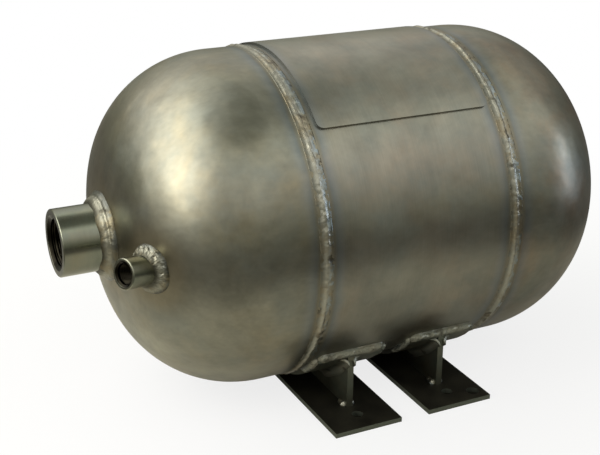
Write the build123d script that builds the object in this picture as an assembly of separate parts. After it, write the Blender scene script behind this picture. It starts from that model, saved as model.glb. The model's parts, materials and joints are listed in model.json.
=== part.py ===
"""Horizontal pressure vessel: a small welded stainless receiver on two saddles.

Millimetres, +Z up. X runs along the tank, with the outlet coupling towards -X, and Y
runs to the back. The origin is the centre of the anchor hole pattern, on the underside
of the base plates and below the middle of the shell.
"""
import os
from math import asin, atan2, cos, degrees, pi, radians, sin, sqrt

from build123d import *

# Shell and heads
shell_outer_diameter = 323.9
wall = 4.57
weld_spacing = 200.0
head_straight = 30.6
knuckle_radius = 119.8
crown_radius = 345.0

# Girth welds
root_gap = 2.4
root_land = 1.6
groove_width = 7.0
cap_width = 14.5
cap_height = 2.4

# Outlet coupling, at the pole of the left head
outlet_outer_diameter = 64.0
outlet_bore_diameter = 44.5
outlet_mouth_diameter = 51.5
outlet_projection = 44.0
outlet_inner_reach = 8.0
outlet_weld_leg = 11.0

# Gauge coupling, in front of the outlet on the same head
gauge_outer_diameter = 28.0
gauge_bore_diameter = 18.4
gauge_mouth_diameter = 22.6
gauge_side_distance = 68.95
gauge_turn = 21.3
gauge_lift = 8.7
gauge_projection = 29.5
gauge_inner_reach = 10.0
gauge_weld_leg = 8.5
rim_chamfer = 0.8

# Top pad, a curved doubler on the shell
pad_thickness = 2.2
pad_half_angle = 45.6
pad_left_margin = 12.0
pad_right_margin = 9.5
pad_corner_radius = 6.5

# Saddles
strap_gap = 30.6
base_length = 317.5
base_width = 71.0
base_thickness = 4.8
web_thickness = 6.4
web_neck_height = 3.75
web_end_inset = 2.06
strap_thickness = 4.8
strap_half_angle = 46.75
strap_weld_clearance = 1.45
strap_end_weld_leg = 7.0
strap_side_weld_leg = 5.0
strap_side_weld_angle = 14.0
seam_leg = 8.0
seam_clearance = 0.2
seam_start_angle = 24.0
foot_weld_leg = 4.5
foot_weld_length = 13.0
foot_weld_inset = 2.0

# Anchor holes
anchor_hole_diameter = 11.0
anchor_hole_end_distance = 23.75
spare_hole_diameter = 13.0
spare_hole_offset_x = 24.0
spare_hole_end_distance = 13.85

# Proportions: a full fillet's bulge in legs, a coupling weld's depth in legs, and how
# many times deeper than its plate a drill or cutter is
fillet_bulge = 0.62
buried_legs = 2.0
cutter_overrun = 4.0

# Derived sizes
shell_radius = shell_outer_diameter / 2
inner_radius = shell_radius - wall
weld_x = weld_spacing / 2
strap_outer_radius = shell_radius + strap_thickness
outlet_radius = outlet_outer_diameter / 2
gauge_radius = gauge_outer_diameter / 2
gauge_offset = shell_radius - gauge_side_distance
strap_edge_x = weld_x - cap_width / 2 - strap_weld_clearance - strap_side_weld_leg
strap_half_width = (strap_edge_x - strap_gap / 2) / 2
saddle_x = strap_gap / 2 + strap_half_width
anchor_hole_y = base_length / 2 - anchor_hole_end_distance
spare_hole_y = -base_length / 2 + spare_hole_end_distance
axis_height = base_thickness + web_neck_height + strap_outer_radius
web_half_length = strap_outer_radius * sin(radians(strap_half_angle)) - web_end_inset


def on_tank(x, radius, angle=0.0):
    """Point at a height along the tank, a radius and an angle from straight down."""
    turn = radians(angle)
    return Vector(x, radius * sin(turn), axis_height - radius * cos(turn))


def knuckle_centre():
    """Height along the head and radius of the knuckle's centre, weld centre at x = 0."""
    return -head_straight, shell_radius - knuckle_radius


def crown_centre():
    """How far the crown's centre lies from the girth weld's centre, along the axis."""
    knuckle_x, knuckle_r = knuckle_centre()
    return knuckle_x + sqrt((crown_radius - knuckle_radius) ** 2 - knuckle_r ** 2)


def crown_curve(inset):
    """The dish's outline from the pole to the straight flange, set in from outside."""
    knuckle_x, knuckle_r = knuckle_centre()
    centre_x = crown_centre()
    join = atan2(knuckle_r, centre_x - knuckle_x)
    crown = crown_radius - inset
    knuckle = knuckle_radius - inset
    pole = Vector(centre_x - crown, 0, 0)
    crown_middle = Vector(centre_x - crown * cos(join / 2), 0, crown * sin(join / 2))
    meet = Vector(centre_x - crown * cos(join), 0, crown * sin(join))
    turn = (join + pi / 2) / 2
    knuckle_middle = Vector(knuckle_x - knuckle * cos(turn), 0, knuckle_r + knuckle * sin(turn))
    flange = Vector(knuckle_x, 0, shell_radius - inset)
    return [ThreePointArc(pole, crown_middle, meet), ThreePointArc(meet, knuckle_middle, flange)]


def crown_x(radius_here):
    """Where the head's outer face lies at a distance from the tank's axis."""
    knuckle_x, knuckle_r = knuckle_centre()
    centre_x = crown_centre()
    if radius_here < crown_radius * knuckle_r / (crown_radius - knuckle_radius):
        return -weld_x + centre_x - sqrt(crown_radius ** 2 - radius_here ** 2)
    return -weld_x + knuckle_x - sqrt(knuckle_radius ** 2 - (radius_here - knuckle_r) ** 2)


def outline_face(*edges):
    """A face from edges that close, drawn about the tank's own axis at z = 0."""
    return make_face(Wire(list(edges)))


def about_tank(face):
    """A face drawn with the axis at z = 0, turned into a solid round the tank's axis."""
    return Pos(0, 0, axis_height) * revolve(face, Axis.X, 360)


def make_shell():
    """The rolled shell, with both ends bevelled for the girth welds."""
    land_x = weld_x - root_gap / 2
    lip_x = weld_x - groove_width / 2
    land_radius = inner_radius + root_land
    outline = Polyline(
        (-land_x, 0, inner_radius), (land_x, 0, inner_radius), (land_x, 0, land_radius),
        (lip_x, 0, shell_radius), (-lip_x, 0, shell_radius), (-land_x, 0, land_radius),
        close=True)
    return about_tank(make_face(outline))


def head_blank():
    """A dished head with a bevelled edge, its weld centre at x = 0 and pole at -X."""
    land_radius = inner_radius + root_land
    outer = crown_curve(0)
    inner = crown_curve(wall)
    flange = Polyline(
        outer[1] @ 1, (-groove_width / 2, 0, shell_radius), (-root_gap / 2, 0, land_radius),
        (-root_gap / 2, 0, inner_radius), inner[1] @ 1)
    pole = Line(inner[0] @ 0, outer[0] @ 0)
    return revolve(outline_face(*outer, *flange.edges(), *inner, pole), Axis.X, 360)


def head_fill():
    """The space within the head's outer face, as one solid in the tank's frame."""
    outer = crown_curve(0)
    edge = Polyline(outer[1] @ 1, (0, 0, shell_radius), (0, 0, 0), outer[0] @ 0)
    solid = revolve(outline_face(*outer, *edge.edges()), Axis.X, 360)
    return Pos(-weld_x, 0, axis_height) * solid


def outlet_place():
    """Frame at the left pole, with Z pointing out of the outlet."""
    pole = (crown_x(0), 0, axis_height)
    return Location(Plane(pole, x_dir=(0, 1, 0), z_dir=(-1, 0, 0)))


def gauge_place():
    """Frame on the head where the gauge coupling's axis leaves it, Z pointing out."""
    lift = radians(gauge_lift)
    turn = radians(gauge_turn)
    out = (-cos(lift) * cos(turn), -cos(lift) * sin(turn), sin(lift))
    start = (crown_x(gauge_offset), -gauge_offset, axis_height)
    return Location(Plane(start, x_dir=(0, 0, 1), z_dir=out))


def make_left_head():
    """The left head, drilled for both couplings."""
    head = Pos(-weld_x, 0, axis_height) * head_blank()
    for place, radius, reach in (
            (outlet_place(), outlet_radius, outlet_inner_reach),
            (gauge_place(), gauge_radius, gauge_inner_reach)):
        head -= place * Cylinder(radius, cutter_overrun * (reach + wall))
    return head


def make_right_head():
    """The right head, plain."""
    return Pos(weld_x, 0, axis_height) * (Rot(0, 0, 180) * head_blank())


def make_girth_weld(x):
    """A butt weld that fills the groove, flush inside and with a rounded cap."""
    land_radius = inner_radius + root_land
    half_gap = root_gap / 2
    half_groove = groove_width / 2
    half_cap = cap_width / 2
    left = Polyline(
        (-half_gap, 0, inner_radius), (-half_gap, 0, land_radius),
        (-half_groove, 0, shell_radius), (-half_cap, 0, shell_radius))
    cap = ThreePointArc(
        (-half_cap, 0, shell_radius), (0, 0, shell_radius + cap_height), (half_cap, 0, shell_radius))
    right = Polyline(
        (half_cap, 0, shell_radius), (half_groove, 0, shell_radius),
        (half_gap, 0, land_radius), (half_gap, 0, inner_radius), (-half_gap, 0, inner_radius))
    face = outline_face(*left.edges(), cap, *right.edges())
    return Pos(x, 0, 0) * about_tank(face)


def make_coupling(outer, bore, mouth, projection, reach):
    """A threaded coupling's body on its own axis, its face at z = projection."""
    mouth_depth = (mouth - bore) / 2
    outline = Polyline(
        (bore / 2, 0, -reach), (outer / 2 - rim_chamfer, 0, -reach),
        (outer / 2, 0, -reach + rim_chamfer), (outer / 2, 0, projection - rim_chamfer),
        (outer / 2 - rim_chamfer, 0, projection), (mouth / 2, 0, projection),
        (bore / 2, 0, projection - mouth_depth), close=True)
    return revolve(make_face(outline), Axis.Z, 360)


def make_coupling_weld(place, radius, leg):
    """A full fillet round a coupling, trimmed to the head and to the coupling."""
    drop = buried_legs * leg
    top = Vector(radius, 0, leg)
    toe = Vector(radius + leg, 0, 0)
    bulge = Vector(radius + fillet_bulge * leg, 0, fillet_bulge * leg)
    crown = ThreePointArc(top, bulge, toe)
    sides = Polyline(toe, (radius + leg, 0, -drop), (radius, 0, -drop), top)
    ring = place * revolve(make_face(Wire([crown, *sides.edges()])), Axis.Z, 360)
    return ring - head_fill()


def sector(inner, outer, width, middle_x, half_angle, up):
    """A curved strip round the tank, centred on its top or its bottom."""
    section = Plane.XZ.location * Pos(0, (inner + outer) / 2) * Rectangle(width, outer - inner)
    start = -half_angle if up else 180 - half_angle
    strip = revolve(section.rotate(Axis.X, start), Axis.X, 2 * half_angle)
    return Pos(middle_x, 0, axis_height) * strip


def make_top_pad():
    """The rolled doubler over the top of the shell, with rounded corners."""
    width = weld_spacing - pad_left_margin - pad_right_margin
    middle = (pad_left_margin - pad_right_margin) / 2
    pad = sector(shell_radius, shell_radius + pad_thickness, width, middle, pad_half_angle, True)
    corners = pad.edges().filter_by(
        lambda edge: edge.geom_type == GeomType.LINE and edge.length < 2 * pad_thickness)
    return fillet(corners, pad_corner_radius)


def plate_drill(diameter):
    """An upright cylinder that drills one hole through a base plate."""
    return Cylinder(diameter / 2, cutter_overrun * base_thickness)


def make_base_plate(x):
    """A flat base plate with its two anchor holes."""
    plate = Pos(x, 0, base_thickness / 2) * Box(base_width, base_length, base_thickness)
    for side in (-1, 1):
        plate -= Pos(x, side * anchor_hole_y, 0) * plate_drill(anchor_hole_diameter)
    return plate


def make_right_base_plate():
    """The right base plate, which has one more hole near its front corner."""
    hole = Pos(saddle_x + spare_hole_offset_x, spare_hole_y, 0) * plate_drill(spare_hole_diameter)
    return make_base_plate(saddle_x) - hole


def make_web(x):
    """The upright plate under the strap, cut to the strap's curve."""
    height = axis_height - base_thickness
    plate = Pos(x, 0, base_thickness + height / 2) * Box(web_thickness, 2 * web_half_length, height)
    hollow = Rot(0, 90, 0) * Cylinder(strap_outer_radius, cutter_overrun * web_thickness)
    return plate - Pos(x, 0, axis_height) * hollow


def make_strap(x):
    """The curved strap that carries the shell."""
    return sector(shell_radius, strap_outer_radius, 2 * strap_half_width, x, strap_half_angle, False)


def make_strap_end_weld(x, side):
    """The fillet between the strap's end and the shell."""
    toe_angle = strap_half_angle + degrees(strap_end_weld_leg / shell_radius)
    middle_angle = (strap_half_angle + toe_angle) / 2
    start = x - strap_half_width
    heel = on_tank(start, shell_radius, side * strap_half_angle)
    top = on_tank(start, strap_outer_radius, side * strap_half_angle)
    toe = on_tank(start, shell_radius, side * toe_angle)
    bulge = on_tank(start, shell_radius + fillet_bulge * strap_thickness, side * middle_angle)
    seat = on_tank(start, shell_radius, side * middle_angle)
    edges = [Line(heel, top), ThreePointArc(top, bulge, toe), ThreePointArc(toe, seat, heel)]
    face = make_face(Wire(edges))
    return extrude(face, 2 * strap_half_width, dir=(1, 0, 0))


def make_strap_side_weld(x, side, end):
    """A short curved fillet between the strap's edge and the shell, next to its end."""
    edge = side * strap_half_width
    outline = Polyline(
        (edge, 0, shell_radius), (edge + side * strap_side_weld_leg, 0, shell_radius),
        (edge, 0, strap_outer_radius), close=True)
    start_angle = strap_half_angle - strap_side_weld_angle
    return swept_fillet(make_face(outline), x, end, start_angle, strap_half_angle)


def swept_fillet(face, x, end, from_angle, to_angle):
    """A fillet's section swept round the tank between two angles from straight down."""
    start = 180 - to_angle if end < 0 else 180 + from_angle
    fillet_piece = revolve(face.rotate(Axis.X, start), Axis.X, to_angle - from_angle)
    return Pos(x, 0, axis_height) * fillet_piece


def make_web_seam(x, side, end):
    """The hollow fillet between the web and the underside of the strap."""
    seat = strap_outer_radius + seam_clearance
    corner = side * web_thickness / 2
    heel = Vector(corner, 0, seat)
    toe = Vector(corner + side * seam_leg, 0, seat)
    top = Vector(corner, 0, seat + seam_leg)
    hollow = 1 - 1 / 2 ** 0.5
    middle = Vector(corner + side * seam_leg * hollow, 0, seat + seam_leg * hollow)
    face = make_face(Wire([Line(heel, toe), ThreePointArc(toe, middle, top), Line(top, heel)]))
    end_angle = degrees(asin(web_half_length / (seat + seam_leg)))
    return swept_fillet(face, x, end, seam_start_angle, end_angle)


def make_foot_weld(x, side, end):
    """A short fillet between the web's foot and the base plate."""
    corner = x + side * web_thickness / 2
    middle_y = end * (web_half_length - foot_weld_inset - foot_weld_length / 2)
    outline = Polyline(
        (corner, middle_y, base_thickness), (corner + side * foot_weld_leg, middle_y, base_thickness),
        (corner, middle_y, base_thickness + foot_weld_leg), close=True)
    return extrude(make_face(outline), foot_weld_length / 2, dir=(0, 1, 0), both=True)


def saddle_pieces(name, x, plate):
    """Every piece of one saddle, by node name."""
    pieces = {
        f"{name}_base_plate": plate,
        f"{name}_web": make_web(x),
        f"{name}_strap": make_strap(x),
    }
    for end, end_name in ((-1, "front"), (1, "back")):
        pieces[f"{name}_strap_weld_{end_name}"] = make_strap_end_weld(x, end)
        for side, side_name in ((-1, "left"), (1, "right")):
            spot = f"{end_name}_{side_name}"
            pieces[f"{name}_side_weld_{spot}"] = make_strap_side_weld(x, side, end)
            pieces[f"{name}_web_seam_{spot}"] = make_web_seam(x, side, end)
            pieces[f"{name}_foot_weld_{spot}"] = make_foot_weld(x, side, end)
    return pieces


def build():
    """All the pieces, by node name."""
    pieces = {
        "shell": make_shell(),
        "left_head": make_left_head(),
        "right_head": make_right_head(),
        "left_girth_weld": make_girth_weld(-weld_x),
        "right_girth_weld": make_girth_weld(weld_x),
        "top_pad": make_top_pad(),
        "outlet_coupling": outlet_place() * make_coupling(
            outlet_outer_diameter, outlet_bore_diameter, outlet_mouth_diameter,
            outlet_projection, outlet_inner_reach),
        "outlet_weld": make_coupling_weld(outlet_place(), outlet_radius, outlet_weld_leg),
        "gauge_coupling": gauge_place() * make_coupling(
            gauge_outer_diameter, gauge_bore_diameter, gauge_mouth_diameter,
            gauge_projection, gauge_inner_reach),
        "gauge_weld": make_coupling_weld(gauge_place(), gauge_radius, gauge_weld_leg),
    }
    pieces.update(saddle_pieces("left_saddle", -saddle_x, make_base_plate(-saddle_x)))
    pieces.update(saddle_pieces("right_saddle", saddle_x, make_right_base_plate()))
    return pieces


if __name__ == "__main__":
    os.makedirs("parts", exist_ok=True)
    for node, piece in build().items():
        export_step(piece, os.path.join("parts", node + ".step"))
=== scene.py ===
"""Looks of a small welded stainless pressure vessel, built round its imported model.

Metres, in the row frame: X along the tank with the outlet towards -X, Y to the back, Z up.
"""

import json
import logging
import math
from dataclasses import dataclass, field, replace
from enum import Enum
from typing import Iterable, Optional, Sequence

import bmesh
import bpy
from mathutils import Matrix, Vector


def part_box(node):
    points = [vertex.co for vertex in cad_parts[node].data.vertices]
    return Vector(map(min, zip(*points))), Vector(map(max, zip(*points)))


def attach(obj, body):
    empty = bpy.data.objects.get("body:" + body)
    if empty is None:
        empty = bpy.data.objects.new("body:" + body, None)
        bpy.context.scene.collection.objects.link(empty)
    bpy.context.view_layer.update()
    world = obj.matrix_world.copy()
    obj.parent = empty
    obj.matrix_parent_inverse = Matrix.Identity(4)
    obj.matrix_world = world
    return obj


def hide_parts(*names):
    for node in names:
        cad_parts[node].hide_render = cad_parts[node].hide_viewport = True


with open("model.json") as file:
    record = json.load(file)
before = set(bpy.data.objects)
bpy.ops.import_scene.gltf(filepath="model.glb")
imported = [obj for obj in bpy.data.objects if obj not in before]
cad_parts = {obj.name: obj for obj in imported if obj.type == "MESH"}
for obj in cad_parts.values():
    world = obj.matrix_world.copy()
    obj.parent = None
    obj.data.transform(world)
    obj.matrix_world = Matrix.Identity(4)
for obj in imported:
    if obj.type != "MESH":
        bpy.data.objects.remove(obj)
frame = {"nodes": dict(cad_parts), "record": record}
LOG = logging.getLogger("vessel")
MM = 0.001
BODY = "root"
# Degrees: no edge of a bead is sharper than this
ALL_SMOOTH = 180.0

Tree = bpy.types.NodeTree
Socket = bpy.types.NodeSocket
Stops = Sequence[tuple[float, str, float]]

# Sockets of a Mix node that mixes colours
MIX_FACTOR, MIX_A, MIX_B, MIX_RESULT = 0, 6, 7, 2
# Sockets of a Map Range node
VALUE, FROM_LOW, FROM_HIGH, TO_LOW, TO_HIGH = range(5)
# Most values of a noise lie between these
NOISE_LOW, NOISE_HIGH = 0.3, 0.7


class Side(Enum):
    """Which way a piece lies from the middle of the tank."""

    LEFT = -1
    RIGHT = 1


class End(Enum):
    """Front is towards -Y and back is towards +Y."""

    FRONT = -1
    BACK = 1


def colour(code: str) -> tuple[float, float, float, float]:
    """Turns an sRGB hex code into linear RGBA.

    Args:
        code: Six hex digits after a hash sign.

    Returns:
        Linear red, green, blue and an alpha of 1.
    """
    channels = [int(code[i:i + 2], 16) / 255 for i in (1, 3, 5)]
    linear = [c / 12.92 if c <= 0.04045 else ((c + 0.055) / 1.055) ** 2.4 for c in channels]
    return (*linear, 1.0)


def add_node(tree: Tree, kind: str, inputs: Optional[dict] = None, **settings) -> bpy.types.Node:
    """Adds a node with its settings, values and links.

    Args:
        tree: The node tree that gets the node.
        kind: The node's type name.
        inputs: Socket name or index to a value, or to the output socket that feeds it.
        settings: Properties of the node.

    Returns:
        The new node.
    """
    node = tree.nodes.new(kind)
    for name, value in settings.items():
        setattr(node, name, value)
    for key, value in (inputs or {}).items():
        if isinstance(value, Socket):
            tree.links.new(value, node.inputs[key])
        else:
            node.inputs[key].default_value = value
    return node


def set_stops(ramp: bpy.types.ColorRamp, stops: Stops) -> None:
    """Sets a colour ramp's stops.

    Args:
        ramp: The ramp to fill.
        stops: Place from 0 to 1, sRGB hex code and alpha of each stop.
    """
    while len(ramp.elements) > 1:
        ramp.elements.remove(ramp.elements[-1])
    for number, (place, code, alpha) in enumerate(stops):
        element = ramp.elements[0] if number == 0 else ramp.elements.new(place)
        element.position = place
        element.color = (*colour(code)[:3], alpha)


def new_material(name: str) -> bpy.types.Material:
    """Makes a material with an empty node tree.

    Args:
        name: The material's name.

    Returns:
        The material.
    """
    material = bpy.data.materials.new(name)
    material.use_nodes = True
    material.node_tree.nodes.clear()
    return material


def way_towards(azimuth: float, elevation: float = 0.0) -> Vector:
    """Unit vector of a direction in the room.

    Args:
        azimuth: Degrees from +Y towards +X.
        elevation: Degrees above the floor.

    Returns:
        The unit vector.
    """
    turn, lift = math.radians(azimuth), math.radians(elevation)
    return Vector((math.sin(turn) * math.cos(lift), math.cos(turn) * math.cos(lift), math.sin(lift)))


@dataclass(frozen=True)
class TankForm:
    """Sizes of the tank's outside, in metres."""

    radius: float
    axis_height: float
    weld_x: float
    straight: float = 30.6 * MM
    knuckle: float = 119.8 * MM
    crown: float = 345.0 * MM
    search_reach: float = 60 * MM
    search_rounds: int = 40

    @property
    def knuckle_offset(self) -> float:
        """Distance of the knuckle's centre from the tank's axis."""
        return self.radius - self.knuckle

    @property
    def crown_centre(self) -> float:
        """Height of the crown's centre outside the girth weld, negative towards the middle."""
        reach = math.sqrt((self.crown - self.knuckle) ** 2 - self.knuckle_offset ** 2)
        return self.straight - reach

    @property
    def join_angle(self) -> float:
        """Angle from the axis at which the crown meets the knuckle, in radians."""
        return math.atan2(self.knuckle_offset, self.straight - self.crown_centre)

    def on_ring(self, x: float, radius: float, turn: float) -> Vector:
        """Point of a ring round the tank, with the turn in radians from straight down to +Y."""
        return Vector((x, radius * math.sin(turn), self.axis_height - radius * math.cos(turn)))

    def outside(self, point: Vector) -> float:
        """Distance of a point from the tank's outer face.

        Args:
            point: A point in the row frame.

        Returns:
            Metres, positive outside the tank.
        """
        along = abs(point.x) - self.weld_x
        off = math.hypot(point.y, point.z - self.axis_height)
        if along < self.straight:
            return off - self.radius
        if math.atan2(off, along - self.crown_centre) < self.join_angle:
            return math.hypot(along - self.crown_centre, off) - self.crown
        return math.hypot(along - self.straight, off - self.knuckle_offset) - self.knuckle

    def drop_onto(self, point: Vector, direction: Vector) -> Vector:
        """Moves a point along a line until it lies on the tank.

        Args:
            point: Where the line starts.
            direction: Unit vector of the line.

        Returns:
            The point on the tank's outer face.
        """
        low, high = -self.search_reach, self.search_reach
        for _ in range(self.search_rounds):
            middle = (low + high) / 2
            if self.outside(point + middle * direction) > 0:
                low = middle
            else:
                high = middle
        return point + low * direction


@dataclass(frozen=True)
class RippleSizes:
    """Sizes of a weld bead's ripples and lumps, in metres."""

    pitch: float
    height: float
    lump_size: float
    lump_height: float

    def fitted(self, length: float) -> "RippleSizes":
        """The same ripples with a pitch that goes into a closed bead a whole number of times."""
        return replace(self, pitch=length / round(length / self.pitch))


@dataclass(frozen=True)
class NozzleForm:
    """Sizes of a threaded coupling and of the weld round its foot, in metres and mean legs."""

    name: str
    mount: str
    outer: float
    lip: float
    pitch: float
    thread_depth: float
    leg: float
    weld_swell: float
    weld_groove: float
    ripples: RippleSizes


# Thread pitches are those of 1-1/2 inch and 1/2 inch pipe thread
OUTLET = NozzleForm(name="outlet", mount="outlet", outer=32.0 * MM, lip=3.49 * MM, pitch=2.2 * MM,
                    thread_depth=1.3 * MM, leg=11.0 * MM, weld_swell=0.08, weld_groove=0.1,
                    ripples=RippleSizes(6.5 * MM, 0.4 * MM, 14 * MM, 0.8 * MM))
GAUGE = NozzleForm(name="gauge", mount="gauge_port", outer=14.0 * MM, lip=2.1 * MM, pitch=1.8 * MM,
                   thread_depth=1.0 * MM, leg=8.5 * MM, weld_swell=0.1, weld_groove=0.0,
                   ripples=RippleSizes(9.0 * MM, 1.3 * MM, 10 * MM, 1.0 * MM))


@dataclass(frozen=True)
class Nozzle:
    """A coupling in its place: the middle of its mouth, its axis outwards, and its bore in metres."""

    form: NozzleForm
    mouth: Vector
    axis: Vector
    bore: float
    length: float

    @classmethod
    def read(cls, form: NozzleForm, record: dict) -> "Nozzle":
        """Reads a coupling's place from its mount in the record.

        Args:
            form: The coupling's own sizes.
            record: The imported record.

        Returns:
            The coupling.
        """
        mount = next(mount for mount in record["mounts"] if mount["name"] == form.mount)
        return cls(form=form, mouth=Vector(mount["pos_m"]), axis=Vector(mount["axis"]).normalized(),
                   bore=mount["dims"]["r_mm"] * MM, length=mount["dims"]["length_mm"] * MM)

    def spoke(self, turn: float) -> Vector:
        """Unit vector square to the axis, at a turn in radians."""
        side = self.axis.orthogonal().normalized()
        return math.cos(turn) * side + math.sin(turn) * self.axis.cross(side)


class MeshMaker:
    """Collects vertices and faces of one closed piece, then makes its object."""

    def __init__(self, name: str) -> None:
        """Starts an empty piece.

        Args:
            name: Name of the object to make.
        """
        self.name = name
        self.points: list[Vector] = []
        self.faces: list[tuple[int, ...]] = []
        self.along: list[float] = []
        self.across: list[float] = []

    def sweep(self, sections: Sequence[Sequence[Vector]], across: Sequence[float],
              along: Sequence[float], closed: bool) -> None:
        """Joins closed sections into a tube.

        Args:
            sections: Points of each section, in the same order and number.
            across: From -1 at one toe to 1 at the other, for each point of a section.
            along: Length of path at each section, in metres.
            closed: Whether the last section joins the first.
        """
        start = len(self.points)
        count, size = len(sections), len(sections[0])
        for section, length in zip(sections, along):
            self.points.extend(section)
            self.along.extend([length] * size)
            self.across.extend(across)
        for row in range(count if closed else count - 1):
            after = (row + 1) % count
            for column in range(size):
                beside = (column + 1) % size
                self.faces.append((start + row * size + column, start + row * size + beside,
                                   start + after * size + beside, start + after * size + column))
        if not closed:
            last = start + (count - 1) * size
            self.faces.append(tuple(start + column for column in reversed(range(size))))
            self.faces.append(tuple(last + column for column in range(size)))

    def build(self, material: bpy.types.Material, smooth_angle: float = 40.0) -> bpy.types.Object:
        """Makes the object with outward faces.

        Args:
            material: The finish of the whole piece.
            smooth_angle: Edges sharper than this many degrees stay sharp.

        Returns:
            The object, at the origin.
        """
        mesh = bpy.data.meshes.new(self.name)
        mesh.from_pydata([tuple(point) for point in self.points], [], self.faces)
        for title, values in (("along", self.along), ("across", self.across)):
            layer = mesh.attributes.new(title, "FLOAT", "POINT")
            layer.data.foreach_set("value", values)
        shape = bmesh.new()
        shape.from_mesh(mesh)
        bmesh.ops.recalc_face_normals(shape, faces=shape.faces)
        shape.to_mesh(mesh)
        shape.free()
        mesh.materials.append(material)
        mesh.shade_smooth()
        mesh.set_sharp_from_angle(angle=math.radians(smooth_angle))
        made = bpy.data.objects.new(self.name, mesh)
        bpy.context.scene.collection.objects.link(made)
        return made


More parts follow.
